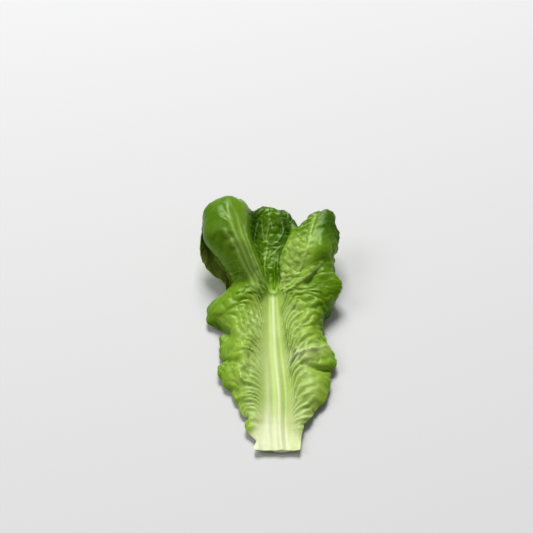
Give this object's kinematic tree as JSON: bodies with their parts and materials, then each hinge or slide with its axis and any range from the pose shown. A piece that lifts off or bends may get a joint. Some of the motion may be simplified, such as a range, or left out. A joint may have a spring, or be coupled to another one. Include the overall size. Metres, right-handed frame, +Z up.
{
  "type": "lettuce leaf",
  "caption": "Picked cos lettuce leaf with three cupped lobes, a frilled margin and a pale ribbed stalk, lying face up as food or garnish.",
  "frame": {"origin": "on the table, under the middle of the leaf's box", "axes": "+Y from the cut end of the stalk to the tips of the lobes, +Z up from the table, +X to the right of someone who looks from the cut end to the tips"},
  "size_m": [0.1258, 0.249, 0.0588],
  "materials": {
    "leaf": "fresh waxy leaf, cream at the stalk to deep green at the tips, soft gloss"
  },
  "bodies": {
    "root": {"lettuce_leaf": "leaf"}
  },
  "joints": []
}
